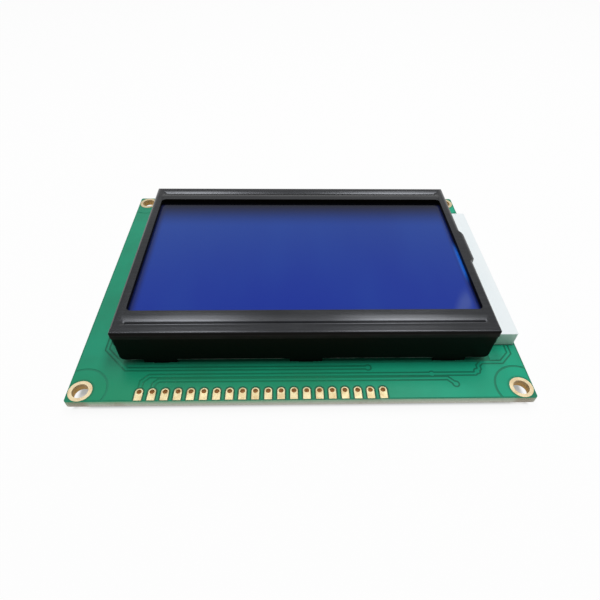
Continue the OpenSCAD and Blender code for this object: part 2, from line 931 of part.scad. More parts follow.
module well_outline(w, h) {
    polygon([
        [-w / 2 + well_draft, -past],
        [w / 2 - well_draft, -past],
        [w / 2 - well_draft, 0],
        [w / 2, h],
        [w / 2, h + past],
        [-w / 2, h + past],
        [-w / 2, h],
        [-w / 2 + well_draft, 0]
    ]);
}

// Outline of the lamp board, with the arm that carries the terminals
module lamp_board_outline(grow = 0) {
    translate([bezel_off_x, bezel_off_y])
        square([plate_l - 2 * plate_clear + 2 * grow, plate_w - 2 * plate_clear + 2 * grow], center = true);
    translate([frame_right - frame_wall - 2 * plate_clear, tongue_off_y - terminal_pad / 2 - grow])
        square([lamp_reach + 2 * plate_clear + grow, terminal_pad + 2 * grow]);
}

module tongue_outline() {
    start = bezel_off_x;
    end = board_right - tongue_inset_end;
    polygon([
        [start, tongue_front],
        [end - tongue_chamfer, tongue_front],
        [end, tongue_front + tongue_chamfer],
        [end, tongue_front + tongue_w - tongue_chamfer],
        [end - tongue_chamfer, tongue_front + tongue_w],
        [start, tongue_front + tongue_w]
    ]);
}

module backlight_frame() {
    color("whitesmoke")
        difference() {
            union() {
                translate([bezel_off_x, bezel_off_y, z_front])
                    linear_extrude(z_light - z_front)
                        rounded_rect(frame_l, frame_w, sheet_t);
                translate([0, 0, z_front])
                    linear_extrude(tongue_h)
                        difference() {
                            tongue_outline();
                            translate([-board_l + frame_right, -board_w])
                                square([board_l - frame_wall / 2, 2 * board_w]);
                        }
            }
            translate([bezel_off_x, bezel_off_y, 0]) {
                light_well();
                translate([0, 0, z_ledge])
                    linear_extrude(diffuser_t + past)
                        square([plate_l, plate_w], center = true);
            }
            translate([0, 0, z_front - past])
                linear_extrude(lamp_board_t + past)
                    lamp_board_outline(plate_clear);
            at_terminals()
                translate([0, 0, z_front])
                    cylinder(
                        d = terminal_head_d + 2 * terminal_clear,
                        h = lamp_board_t + terminal_head_h + terminal_clear
                    );
        }
}

module backlight_diffuser() {
    color("ivory")
        translate([bezel_off_x, bezel_off_y, z_ledge])
            linear_extrude(diffuser_t)
                square([plate_l - 2 * plate_clear, plate_w - 2 * plate_clear], center = true);
}

module lamp_board() {
    color("beige")
        difference() {
            translate([0, 0, z_front])
                linear_extrude(lamp_board_t)
                    lamp_board_outline();
            at_terminals()
                translate([0, 0, z_front - past])
                    cylinder(d = terminal_d + 2 * terminal_clear, h = lamp_board_t + 2 * past);
        }
}

module lamps() {
    color("lightyellow")
        for (c = [0:lamp_cols - 1], r = [0:lamp_rows - 1])
            translate([
                bezel_off_x + (c - (lamp_cols - 1) / 2) * lamp_pitch_x,
                bezel_off_y + (r - (lamp_rows - 1) / 2) * lamp_pitch_y,
                z_lamps
            ])
                linear_extrude(lamp_h)
                    square([lamp_l, lamp_w], center = true);
}

module backlight_terminals() {
    color("silver")
        at_terminals() {
            translate([0, 0, z_rear - terminal_tail])
                cylinder(d = terminal_d, h = terminal_tail + board_t + lamp_board_t);
            translate([0, 0, z_lamps])
                cylinder(d = terminal_head_d, h = terminal_head_h);
        }
}

module terminal_rings() {
    color("wheat")
        at_terminals()
            plated_hole(terminal_d + 2 * terminal_clear, covered = true)
                circle(d = terminal_ring_d);
}

// Cone of solder round each terminal, with a hollow flank
module terminal_solder() {
    rise = terminal_tail - plating_t - terminal_clear;
    foot = terminal_ring_d / 2 - terminal_clear;
    color("silver")
        at_terminals()
            translate([0, 0, z_rear - plating_t])
                rotate([180, 0, 0])
                    difference() {
                        cylinder(r1 = foot, r2 = terminal_d / 2 + terminal_clear / 2, h = rise);
                        translate([0, 0, -past])
                            cylinder(d = terminal_d, h = rise + 2 * past);
                    }
}

// Low dome of black resin, round its edge and flat against the board
module resin_cap(spot) {
    dome_h = cap_h - cap_edge_h;
    dome_r = (cap_d * cap_d / 4 + dome_h * dome_h) / (2 * dome_h);
    color("black")
        translate([spot[0], spot[1], z_rear])
            rotate([180, 0, 0])
                intersection() {
                    cylinder(d = cap_d, h = cap_h);
                    translate([0, 0, cap_h - dome_r])
                        sphere(dome_r, $fn = 128);
                }
}

module row_driver_cap() {
    resin_cap(cap_spots[0]);
}

module left_column_driver_cap() {
    resin_cap(cap_spots[1]);
}

module right_column_driver_cap() {
    resin_cap(cap_spots[2]);
}

module dam_rings() {
    color("white")
        for (spot = cap_spots)
            translate([spot[0], spot[1], z_rear - dam_t])
                linear_extrude(dam_t)
                    difference() {
                        circle(d = dam_d);
                        circle(d = cap_d);
                    }
}

// The two lands under a chip part
module chip_lands() {
    land = chip_end + solder_reach;
    for (s = [-1, 1])
        translate([s * (chip_l / 2 - chip_end + land / 2), 0, -land_t])
            linear_extrude(land_t)
                square([land, chip_w], center = true);
}

// Sloping solder at both ends of a chip part
module chip_solder(h) {
    for (s = [0, 180])
        rotate([0, 0, s])
            translate([chip_l / 2, chip_w / 2, 0])
                rotate([90, 0, 0])
                    linear_extrude(chip_w)
                        polygon([[0, 0], [solder_reach, 0], [0, h / 2]]);
}

module chip_body(h) {
    translate([0, 0, chip_skin])
        linear_extrude(h - 2 * chip_skin)
            square([chip_l - 2 * chip_end, chip_w - 2 * chip_skin], center = true);
}

module chip_ends(h) {
    for (s = [-1, 1])
        translate([s * (chip_l - chip_end) / 2, 0, 0])
            linear_extrude(h)
                square([chip_end, chip_w], center = true);
}

// Feet of the converter chip's leads, four on each side
module at_leads() {
    for (side = [0, 180], i = [0:3])
        rotate([0, 0, side])
            translate([converter_w / 2, (i - 1.5) * lead_pitch, 0])
                children();
}

module component_lands() {
    color("gold") {
        for (spot = concat(resistor_spots, capacitor_spots))
            on_rear(spot)
                chip_lands();
        on_rear(converter_spot)
            at_leads()
                translate([lead_reach - lead_foot / 2, 0, -land_t])
                    linear_extrude(land_t)
                        square([lead_foot + lead_t, lead_w + lead_t], center = true);
    }
}

module component_solder() {
    color("silver") {
        for (spot = resistor_spots)
            on_rear(spot)
                chip_solder(resistor_h);
        for (spot = capacitor_spots)
            on_rear(spot)
                chip_solder(capacitor_h);
    }
}

module resistor_bodies() {
    color("black")
        for (spot = resistor_spots)
            on_rear(spot)
                chip_body(resistor_h);
}

module resistor_ends() {
    color("silver")
        for (spot = resistor_spots)
            on_rear(spot)
                chip_ends(resistor_h);
}

module capacitor_bodies() {
    color("tan")
        for (spot = capacitor_spots)
            on_rear(spot)
                chip_body(capacitor_h);
}

module capacitor_ends() {
    color("silver")
        for (spot = capacitor_spots)
            on_rear(spot)
                chip_ends(capacitor_h);
}

// Moulded outline with both halves drafted from the parting line
module moulded(w) {
    low = converter_lift;
    mid = low + converter_h / 2;
    high = low + converter_h;
    polygon([
        [-w / 2 + converter_draft, low],
        [w / 2 - converter_draft, low],
        [w / 2, mid],
        [w / 2 - converter_draft, high],
        [-w / 2 + converter_draft, high],
        [-w / 2, mid]
    ]);
}

module converter_body() {
    color("black")
        on_rear(converter_spot)
            difference() {
                intersection() {
                    translate([0, converter_l / 2, 0])
                        rotate([90, 0, 0])
                            linear_extrude(converter_l)
                                moulded(converter_w);
                    translate([-converter_w / 2, 0, 0])
                        rotate([90, 0, 90])
                            linear_extrude(converter_w)
                                moulded(converter_l);
                }
                translate([-converter_w / 4, converter_l / 4, converter_lift + converter_h - lead_t])
                    cylinder(r = lead_w, h = past);
            }
}

// Gull-wing leads, bent down to the lands
module converter_leads() {
    z_out = converter_lift + converter_h / 2;
    color("silver")
        on_rear(converter_spot)
            difference() {
                at_leads()
                    translate([0, lead_w / 2, 0])
                        rotate([90, 0, 0])
                            linear_extrude(lead_w)
                                strip([
                                    [-converter_draft, z_out],
                                    [lead_t + (lead_reach - lead_foot) / 4, z_out],
                                    [lead_reach - lead_foot, lead_t / 2],
                                    [lead_reach, lead_t / 2]
                                ], lead_t);
                intersection() {
                    translate([0, converter_l / 2, 0])
                        rotate([90, 0, 0])
                            linear_extrude(converter_l)
                                moulded(converter_w);
                    translate([-converter_w / 2, 0, 0])
                        rotate([90, 0, 90])
                            linear_extrude(converter_w)
                                moulded(converter_l);
                }
            }
}

printed_board();
front_copper();
front_tracks();
rear_tracks();
mounting_rings();
header_pads();
bezel();
front_polariser();
upper_glass();
lower_glass();
rear_polariser();
front_zebra();
rear_zebra();
backlight_frame();
backlight_diffuser();
lamp_board();
lamps();
backlight_terminals();
terminal_rings();
terminal_solder();
row_driver_cap();
left_column_driver_cap();
right_column_driver_cap();
dam_rings();
component_lands();
component_solder();
resistor_bodies();
resistor_ends();
capacitor_bodies();
capacitor_ends();
converter_body();
converter_leads();
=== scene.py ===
"""Looks of a graphic LCD module: finishes, softened edges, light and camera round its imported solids."""

import math

import bpy
from mathutils import Matrix, Vector


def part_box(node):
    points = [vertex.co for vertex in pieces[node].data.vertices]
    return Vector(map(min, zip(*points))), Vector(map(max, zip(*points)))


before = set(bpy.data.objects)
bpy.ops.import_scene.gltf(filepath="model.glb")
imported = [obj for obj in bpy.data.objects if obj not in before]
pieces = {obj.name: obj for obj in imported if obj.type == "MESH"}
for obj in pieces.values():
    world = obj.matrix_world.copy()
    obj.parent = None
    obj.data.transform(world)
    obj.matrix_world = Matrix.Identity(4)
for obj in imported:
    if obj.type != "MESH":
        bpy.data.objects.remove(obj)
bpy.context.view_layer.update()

MM = 0.001

# Camera of the photograph: places in millimetres of the part's frame, roll in degrees
CAMERA_AT = (-3.103, -83.678, 81.345)
CAMERA_AIM = (-0.171, -7.684, 3.4)
CAMERA_ROLL = 1.35
CAMERA_LENS = 27.575
CAMERA_SENSOR = 36.0
CAMERA_NEAR = 1.0
CAMERA_FAR = 20000.0

# Boxes that the finishes are laid out from, in millimetres
board_low, board_high = (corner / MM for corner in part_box("printed_board"))
bezel_low, bezel_high = (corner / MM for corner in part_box("bezel"))
film_low, film_high = (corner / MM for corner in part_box("front_polariser"))
header_low, header_high = (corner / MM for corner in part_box("header_pads"))
ring_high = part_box("mounting_rings")[1] / MM
window_mid_x = (film_low.x + film_high.x) / 2
bezel_mid_y = (bezel_low.y + bezel_high.y) / 2
bezel_half_x = window_mid_x - bezel_low.x
bezel_half_y = (bezel_high.y - bezel_low.y) / 2

# Board, in millimetres: rings, pads, weave and the bands in which the mask or the sawn edge changes colour
RING_RADIUS = 2.35
PAD_HALF = 0.825
PIN_PITCH = 2.54
CORNER_COPPER = 5.6
WEAVE_PITCH = 0.62, 0.5
LAYER_PITCH = 0.2
GREEN_FADE = -20.0, 30.0
BY_PADS_DEEP = -34.0, -22.0
BY_PADS_WIDE = 0.0, 30.0
PALE_EDGE = 0.28, 0.4
PALE_BY_BEZEL = 0.35, 0.45
PALE_BACK = 0.0, 20.0
PAD_LAP = 0.07
MASK_ON_LAMINATE = "0c7558", "0a644a"
MASK_ON_COPPER = "12a883", "198363"
MASK_BY_PADS = "06895a"
# Dark green of the mask that laps over the pads, also used as painted shade round pads and rings
MASK_LAP_AND_RIM_SHADE = "0b4a30"
MASK_RELIEF = 0.006

# Bezel, in millimetres: tabs that stand out past the rim, bend, beads, stepped rim with its band of painted
# reflection, and walls on feet
TAB_REACH = 0.507
BEND_BAND = 1.2
BEAD_DEPTH = 0.4
BEAD_INSET = 2.8
BEAD_END = 2.9
RIM_DROP = 2.0
RIM_BAND = 1.1
WALL_LIFT = 1.0
FOOT_PITCH = 30.1
FOOT_HALF = 3.4
rim_half_y = bezel_half_y - TAB_REACH

# Shading of the bezel's front border: tilts at which the bend is drawn flat, the rolled lip, and the sheen
BEND_FLATTENED = 0.56, 0.86
LIP_BEGINS = 0.34, 0.44
LIP_ENDS = 0.62, 0.8
LIP_DROP = 0.5
LIP_TILT = 0.2
SHEEN_DULL = 0.028, 0.029, 0.0312, 1.0
SHEEN_BRIGHT = 0.0425, 0.044, 0.0475, 1.0

# Display film, in millimetres: the bezel's lap, its painted shade and dark line, the painted reflection to
# the left, the painted light that leaks in, and the slanted painted glare
FILM_LAP = 0.8
SHADE_BEHIND = 0.5, 11.0
SHADE_LINE_BEHIND = 0.9, 2.0
LEFT_REFLECTION = 0.0, 50.0
LEAK_BEGINS = -12.0, -7.0
LEAK_ENDS = -1.5, 3.5
GLARE_AT = 43.0
GLARE_SLANT = 0.5
GLARE_EDGE = 0.3, 2.6
GLARE_ENDS = 3.0, 8.5

# Other finishes: layers of the connectors, depth of glow in white plastic, and bubbles in the resin
ZEBRA_PITCH = 0.18
GLOW_DEPTH = 0.6
BUBBLES_PER_MM = 0.8

# Softened edges, in millimetres and degrees
WELD_GAP = 0.0005
SOFT_SEGMENTS = 2
SOFT_DEGREES = 35

# Floor and light: the floor's span in metres, the rest in millimetres, powers in watts per millimetre
WHITE = 1.0, 1.0, 1.0, 1.0
FLOOR_SPAN = 4.0
FLOOR_GLOW = 0.93
FLOOR_GLOW_BELOW = 0.35
SHADE_FROM = 0.35
SHADE_FULL = 1.3
AMBIENT = 0.14
LAMPS = ("left", -125, 95), ("right", 140, 120)
STRIP_Y, STRIP_Z, STRIP_DEPTH = 130, 480, 400
BOX_Y, BOX_Z, BOX_DEPTH = 0, 470, 160
STRIP_POWER = 0.0066
BOX_POWER = 0.0042


def srgb(code):
    """Linear colour of a six-digit screen colour."""
    parts = [int(code[i:i + 2], 16) / 255 for i in (0, 2, 4)]
    return tuple(c / 12.92 if c <= 0.04045 else ((c + 0.055) / 1.055) ** 2.4 for c in parts) + (1.0,)


class Value:
    """A shader socket in Python expressions. Each operator adds one Math node."""

    def __init__(self, finish, socket):
        self.finish = finish
        self.socket = socket

    def beside(self, name):
        """Another output of the same node."""
        return Value(self.finish, self.socket.node.outputs[name])

    def __add__(self, other):
        return self.finish.math("ADD", self, other)

    def __radd__(self, other):
        return self.finish.math("ADD", other, self)

    def __sub__(self, other):
        return self.finish.math("SUBTRACT", self, other)

    def __rsub__(self, other):
        return self.finish.math("SUBTRACT", other, self)

    def __mul__(self, other):
        return self.finish.math("MULTIPLY", self, other)

    def __rmul__(self, other):
        return self.finish.math("MULTIPLY", other, self)

    def __pow__(self, other):
        return self.finish.math("POWER", self, other)

    def __abs__(self):
        return self.finish.math("ABSOLUTE", self)

    def least(self, other):
        """The smaller of two values."""
        return self.finish.math("MINIMUM", self, other)

    def most(self, other):
        """The larger of two values."""
        return self.finish.math("MAXIMUM", self, other)

    def wave(self, pitch):
        """From 0 to 1 and back once in each pitch."""
        return self.finish.math("SINE", self * (2 * math.pi / pitch)) * 0.5 + 0.5

    def rise(self, low, high):
        """A smooth step from 0 at low to 1 at high."""
        return self.finish.node(
            "MapRange",
            {"interpolation_type": "SMOOTHSTEP"},
            {"Value": self, "From Min": low, "From Max": high},
        )


class Finish:
    """A material being made. node() adds any node, and coat() ends it with a Principled shader."""

    def __init__(self, name, tree=None):
        if tree is None:
            self.material = bpy.data.materials.new(name)
            self.material.use_nodes = True
            tree = self.material.node_tree
        self.tree = tree
        self.tree.nodes.clear()

    def node(self, kind, settings=None, inputs=None, out=0):
        """Adds a node: its settings first, then the values or links of its sockets."""
        made = self.tree.nodes.new("ShaderNode" + kind)
        for key, value in (settings or {}).items():
            setattr(made, key, value)
        for key, value in (inputs or {}).items():
            if isinstance(value, Value):
                self.tree.links.new(value.socket, made.inputs[key])
            else:
                made.inputs[key].default_value = value
        return Value(self, made.outputs[out]) if len(made.outputs) else None

    def math(self, operation, a, b=None):
        """A Math node on one or two values."""
        inputs = {0: a} if b is None else {0: a, 1: b}
        return self.node("Math", {"operation": operation}, inputs)

    def mix(self, share, a, b):
        """Colour a, passing into colour b where share is 1."""
        return self.node("Mix", {"data_type": "RGBA"}, {0: share, 6: a, 7: b}, out=2)

    def place(self):
        """The point on the piece, in millimetres of the part's frame."""
        spot = self.node("TexCoord", out="Object")
        return self.node("VectorMath", {"operation": "SCALE"}, {0: spot, "Scale": 1 / MM})

    def axes(self, vector):
        """The three parts of a vector."""
        x = self.node("SeparateXYZ", inputs={0: vector})
        return x, x.beside("Y"), x.beside("Z")

    def stretched(self, vector, scale):
        """A vector with each axis scaled: below 1 draws a texture out along it."""
        return self.node("VectorMath", {"operation": "MULTIPLY"}, {0: vector, 1: scale})

    def cloud(self, vector, size, detail=3.0):
        """Noise from 0 to 1, with features of that size in millimetres."""
        return self.node("TexNoise", inputs={"Vector": vector, "Scale": 1 / size, "Detail": detail})

    def facing(self, low=0.4, high=0.6):
        """1 where the surface faces up or down, 0 on a side."""
        normal = self.node("TexCoord", out="Normal")
        return abs(self.axes(normal)[2]).rise(low, high)

    def relief(self, height, depth, under=None):
        """A bumped normal: height from 0 to 1 stands for a depth in millimetres."""
        inputs = {"Height": height, "Distance": depth * MM}
        if under is not None:
            inputs["Normal"] = under
        return self.node("Bump", inputs=inputs)

    def coat(self, **sockets):
        """Principled shader and output. Keywords are socket names with _ for a space."""
        inputs = {key.replace("_", " "): value for key, value in sockets.items()}
        shader = self.node("BsdfPrincipled", inputs=inputs)
        self.node("OutputMaterial", inputs={"Surface": shader})
        return self.material


def from_corner_hole(x, y):
    """Distance from the nearest corner hole's axis."""
    off_x = abs(x) - (ring_high.x - RING_RADIUS)
    off_y = abs(y) - (ring_high.y - RING_RADIUS)
    return (off_x * off_x + off_y * off_y) ** 0.5


def laminate_edge(finish, spot):
    """Sawn glass laminate: grey-beige layers with brown scorch marks."""
    x, y, z = finish.axes(spot)
    layers = (z + finish.cloud(spot, 1.2) * 0.12).wave(LAYER_PITCH)
    by_ring = 1 - from_corner_hole(x, y).rise(RING_RADIUS + 0.3, RING_RADIUS + 1.3)
    flecks = finish.cloud(finish.stretched(spot, (1.0, 1.0, 6.0)), 0.35, detail=5.0)
    scorch = finish.cloud(spot, 7.0).rise(0.52, 0.72)
    colour = finish.mix(flecks.rise(0.3, 0.7), srgb("dcdccb"), srgb("fdfdf2"))
    colour = finish.mix(layers * 0.3, colour, srgb("e2dcc9"))
    green = z.rise(board_low.z + 0.2, board_high.z) * (0.9 - x.rise(*GREEN_FADE) * 0.3)
    colour = finish.mix(green, colour, srgb("9ad4a8"))
    return finish.mix(scorch.most(by_ring) * 0.5, colour, srgb("a88a70")), flecks


def from_header_pad(finish, x, y):
    """Distance from the nearest header pad's outline, below 0 on the pad."""
    off_x = finish.math("PINGPONG", x - (header_low.x + PAD_HALF), PIN_PITCH / 2)
    off_y = (y - (header_high.y - PAD_HALF)).most(0.0)
    return ((off_x * off_x + off_y * off_y) ** 0.5 - PAD_HALF).most(header_low.y - y)


def mask_face(finish, spot, codes):
    """Green solder mask: mottled, with a faint weave, and painted shade round pads and rings.

    Returns its colour, its grain for the roughness and its weave for the relief.
    """
    x, y = finish.axes(spot)[:2]
    mottle = finish.cloud(spot, 9.0, detail=4.0)
    speck = finish.cloud(spot, 0.5, detail=4.0)
    warp, weft = x.wave(WEAVE_PITCH[0]), y.wave(WEAVE_PITCH[1])
    weave = warp * weft + (1 - warp) * (1 - weft)
    # Darker towards the left of the board and in mottled patches
    darker_share = (1 - x.rise(board_low.x, board_high.x)) * 0.65 + mottle.rise(0.3, 0.75) * 0.35
    bare, shaded = (srgb(code) for code in codes)
    face = finish.mix(darker_share, bare, shaded)
    by_pads = (1 - y.rise(*BY_PADS_DEEP)) * (1 - x.rise(*BY_PADS_WIDE))
    face = finish.mix(by_pads * 0.6, face, srgb(MASK_BY_PADS))
    face = finish.mix(weave * 0.12 + speck * 0.1, face, shaded)
    # Painted shade in the step of the mask round the header pads and, fainter, round the corner rings
    rim_shade = 1 - from_header_pad(finish, x, y).rise(0.08, 0.3)
    rim_shade = rim_shade * x.rise(header_low.x - 0.5, header_low.x - 0.4)
    rim_shade = rim_shade * (1 - x.rise(header_high.x + 0.4, header_high.x + 0.5))
    by_ring = 1 - from_corner_hole(x, y).rise(RING_RADIUS + 0.05, RING_RADIUS + 0.6)
    rim_shade = rim_shade.most(by_ring * 0.7)
    face = finish.mix(rim_shade * 0.75, face, srgb(MASK_LAP_AND_RIM_SHADE))
    return face, speck * 0.12 + mottle * 0.1, weave * 0.3 + speck * 0.7


def masked_laminate():
    """The board: dark mask where there is no copper, and sawn edges.

    The front is paler along the outline, round the corner holes and up to the bezel.
    """
    finish = Finish("masked_laminate")
    spot = finish.place()
    x, y, z = finish.axes(spot)
    face, grain, weave = mask_face(finish, spot, MASK_ON_LAMINATE)
    from_edge = (board_high.x - abs(x)).least(board_high.y - abs(y))
    from_hole = from_corner_hole(x, y)
    from_bezel = (abs(x - window_mid_x) - bezel_half_x).most(abs(y - bezel_mid_y) - bezel_half_y)
    pale = 1 - from_edge.rise(*PALE_EDGE)
    pale = pale.most(1 - from_hole.rise(CORNER_COPPER, CORNER_COPPER + 0.4))
    pale = pale.most(1 - from_bezel.rise(*PALE_BY_BEZEL))
    pale = pale.most((1 - from_hole.rise(CORNER_COPPER + 1.4, CORNER_COPPER + 1.6)) * 0.4)
    pale = pale * z.rise(board_low.z, board_high.z)
    face = finish.mix(pale * (y.rise(*PALE_BACK) * 0.25 + 0.62), face, srgb(MASK_ON_COPPER[1]))
    side, flecks = laminate_edge(finish, spot)
    flat = finish.facing()
    return finish.coat(
        Base_Color=finish.mix(flat, side, face),
        Roughness=(0.85 - flecks * 0.1) * (1 - flat) + (grain + 0.3) * flat,
        Specular_IOR_Level=0.2,
        Normal=finish.relief(weave, MASK_RELIEF),
    )


def masked_copper():
    """Tracks and pour: paler mask on the copper's face, darker green down the copper's sides."""
    finish = Finish("masked_copper")
    spot = finish.place()
    face, grain, weave = mask_face(finish, spot, MASK_ON_COPPER)
    flat = finish.facing()
    return finish.coat(
        Base_Color=finish.mix(flat, srgb(MASK_ON_LAMINATE[1]), face),
        Roughness=grain + 0.26,
        Specular_IOR_Level=0.2,
        Normal=finish.relief(weave, MASK_RELIEF),
    )


def plated(name, bright, dull, pit_depth, tarnish, lapped=0.0):
    """Thin gold over copper: pale on the flat faces, brown down the holes, with fine pits and stains.

    On header pads the mask laps over the rim by the width in lapped, in millimetres.
    """
    finish = Finish(name)
    spot = finish.place()
    x, y, z = finish.axes(spot)
    stain = finish.cloud(spot, 1.6, detail=5.0)
    pits = finish.cloud(spot, 0.14, detail=2.0)
    flat = finish.facing(high=0.7)
    face = finish.mix(stain.rise(0.35, 0.8), bright, dull)
    wall = finish.mix(z.rise(board_low.z + 0.4, board_high.z) * stain, tarnish, bright)
    metal = flat * 0.7 + 0.15
    if lapped:
        bare = 1 - from_header_pad(finish, x, y).rise(-lapped - 0.04, -lapped)
        # The lapped mask takes the same dark green as the painted shade round the pads
        face = finish.mix(bare, srgb(MASK_LAP_AND_RIM_SHADE), face)
        metal = metal * bare.most(1 - flat)
    return finish.coat(
        Base_Color=finish.mix(flat, wall, face),
        Metallic=metal,
        Roughness=stain * 0.2 + pits * 0.1 + 0.28,
        Normal=finish.relief(pits, pit_depth),
    )


def pressed_front(finish, x, ahead, z):
    """Shading of the bezel's front border: a tight bend, and a rolled lip in front of the bead.

    Returns the turned normal and the shares of the bend and of the lip.
    """
    top = bezel_high.z
    bend = ahead.rise(rim_half_y - BEND_BAND - 0.2, rim_half_y - BEND_BAND)
    bend = bend * z.rise(top - BEND_BAND, top - BEND_BAND + 0.1)
    from_bead = ahead - (rim_half_y - BEAD_INSET)
    past_bead = abs(x - window_mid_x).rise(bezel_half_x - BEAD_END - 0.2, bezel_half_x - BEAD_END)
    lip = from_bead.rise(*LIP_BEGINS) * (1 - from_bead.rise(*LIP_ENDS))
    lip = lip * (1 - past_bead) * z.rise(top - LIP_DROP, top - LIP_DROP + 0.1)
    tilt_x, tilt_y, upright = finish.axes(finish.node("TexCoord", out="Normal"))
    lean = 1 - bend * upright.rise(*BEND_FLATTENED)
    tilt_y = tilt_y * lean * (1 - lip) - lip * LIP_TILT
    turned = finish.node("CombineXYZ", inputs={0: tilt_x * lean, 1: tilt_y, 2: upright})
    return finish.node("VectorMath", {"operation": "NORMALIZE"}, {0: turned}), bend, lip


def bezel_paint():
    """Black paint on stamped steel: orange peel, glossy on top, left dull and black down the walls and in
    the front bead as painted shade, with a band of painted reflection on the rim.

    The lower edge of the walls is cut bare between the feet.
    """
    finish = Finish("bezel_paint")
    spot = finish.place()
    x, y, z = finish.axes(spot)
    peel = finish.cloud(spot, 0.22, detail=2.0)
    haze = finish.cloud(spot, 6.0, detail=4.0)
    scuffs = finish.cloud(finish.stretched(spot, (0.25, 1.6, 1.0)), 0.8, detail=5.0)
    streaks = finish.cloud(finish.stretched(spot, (0.04, 1.0, 1.0)), 0.45).rise(0.3, 0.7)
    top = bezel_high.z
    ahead = bezel_mid_y - y
    turned, bend, lip = pressed_front(finish, x, ahead, z)
    flat = abs(finish.axes(turned)[2]).rise(0.5, 0.9)
    rim_low = top - RIM_DROP
    rim_high = rim_low + RIM_BAND
    # A lighter grey band on the rim under the bend, broken up by the scuffs: painted reflection
    rim = z.rise(rim_low - 0.05, rim_low + 0.05) * (1 - flat)
    rim = rim * (1 - z.rise(rim_high - 0.1, rim_high + 0.1))
    from_middle = abs(x - window_mid_x)
    from_foot = from_middle.least(abs(from_middle - FOOT_PITCH))
    wall_edge = board_high.z + WALL_LIFT
    cut = z.rise(wall_edge - 0.2, wall_edge - 0.1) * (1 - z.rise(wall_edge + 0.06, wall_edge + 0.14))
    cut = cut * (1 - flat) * from_foot.rise(FOOT_HALF, FOOT_HALF + 0.1)
    behind = 1 - ahead.rise(-1.0, 1.0)
    # Sheen only on upward faces clear of the front bead's floor: the walls and that floor stay dull and
    # black, painted shade
    clear_of_bead_shade = z.rise(top - BEAD_DEPTH * 0.9, top - BEAD_DEPTH * 0.65)
    gloss = flat * clear_of_bead_shade.most(bend).most(lip).most(behind)
    colour = finish.mix(haze.rise(0.3, 0.7), srgb("08090d"), srgb("0e1016"))
    colour = finish.mix(flat, srgb("0d0b08"), colour)
    colour = finish.mix(rim * scuffs, colour, srgb("2b2928"))
    colour = finish.mix(gloss, colour, finish.mix(haze * 0.5 + streaks * 0.5, SHEEN_DULL, SHEEN_BRIGHT))
    return finish.coat(
        Base_Color=finish.mix(cut * scuffs.rise(0.3, 0.6), colour, srgb("9a9a97")),
        Metallic=gloss,
        Roughness=haze * 0.04 + scuffs * 0.04 - gloss * 0.08 + 0.28,
        Specular_IOR_Level=0.06,
        Normal=finish.relief(peel, 0.005, under=turned),
    )


def display_film():
    """Blue film over the cell, with painted light: a painted reflection lighter towards the rear and left,
    the clamped edge in the bezel's painted shade, painted light leaking in on the right and a slanted
    painted glare.
    """
    finish = Finish("display_film")
    spot = finish.place()
    x, y = finish.axes(spot)[:2]
    left = x - (film_low.x + FILM_LAP)
    right = (film_high.x - FILM_LAP) - x
    front = y - (film_low.y + FILM_LAP)
    rear = (film_high.y - FILM_LAP) - y
    bands = finish.cloud(finish.stretched(spot, (1.0, 0.35, 1.0)), 16.0, detail=2.0)
    speck = finish.cloud(spot, 0.3, detail=2.0)
    # Painted reflection: the blue grows lighter towards the rear, and paler still towards the rear left
    depth = front.rise(0.0, film_high.y - film_low.y)
    colour = finish.mix(depth, srgb("133096"), srgb("1b3f92"))
    colour = finish.mix(bands.rise(0.35, 0.75) * 0.3, colour, srgb("204aa0"))
    colour = finish.mix((1 - left.rise(*LEFT_REFLECTION)) * depth * 0.35, colour, srgb("2a50a4"))
    # Painted shade of the bezel: broad at the rear, narrow along the left, right and front, and a near-black
    # line at the rear of painted shade and reflection of its inner wall
    colour = finish.mix(rear.rise(*SHADE_BEHIND), srgb("06081c"), colour)
    sides = left.rise(-0.2, 2.0).least(right.rise(-0.2, 1.6)).least(front.rise(-0.6, 0.5))
    colour = finish.mix(sides, srgb("10153a"), colour)
    colour = finish.mix(rear.rise(*SHADE_LINE_BEHIND), srgb("030305"), colour)
    leak = right.rise(-0.1, 0.2) * (1 - right.rise(0.4, 1.2))
    leak = leak * y.rise(*LEAK_BEGINS) * (1 - y.rise(*LEAK_ENDS))
    colour = finish.mix(leak * 0.8, colour, srgb("1f68d6"))
    glare = 1 - abs(x - y * GLARE_SLANT - GLARE_AT).rise(*GLARE_EDGE)
    glare = glare * (1 - front.rise(*GLARE_ENDS)) * right.rise(0.8, 2.0)
    colour = finish.mix(glare * 0.12, colour, srgb("9fb2c8"))
    return finish.coat(
        Base_Color=colour,
        Roughness=speck * 0.05 + 0.1,
        Specular_IOR_Level=0.14,
        Normal=finish.relief(speck, 0.0008),
    )


def cell_glass():
    """Clear glass with a faint green tint at its ground edges."""
    finish = Finish("cell_glass")
    spot = finish.place()
    ground = 1 - finish.facing()
    chips = finish.cloud(spot, 0.3, detail=4.0)
    return finish.coat(
        Base_Color=finish.mix(ground * chips, srgb("e9f5f1"), srgb("a9cdbf")),
        Roughness=ground * (chips * 0.2 + 0.3) + 0.03,
        Transmission_Weight=0.85,
        IOR=1.5,
    )


def zebra_rubber():
    """Silicone strip with a core of fine conducting layers."""
    finish = Finish("zebra_rubber")
    spot = finish.place()
    layers = finish.axes(spot)[0].wave(ZEBRA_PITCH).rise(0.35, 0.65)
    bloom = finish.cloud(spot, 1.5, detail=4.0)
    colour = finish.mix(layers, srgb("17171a"), srgb("5c5458"))
    return finish.coat(
        Base_Color=finish.mix(bloom * 0.3, colour, srgb("77706f")),
        Roughness=bloom * 0.15 + 0.6,
        Normal=finish.relief(layers, 0.01),
    )


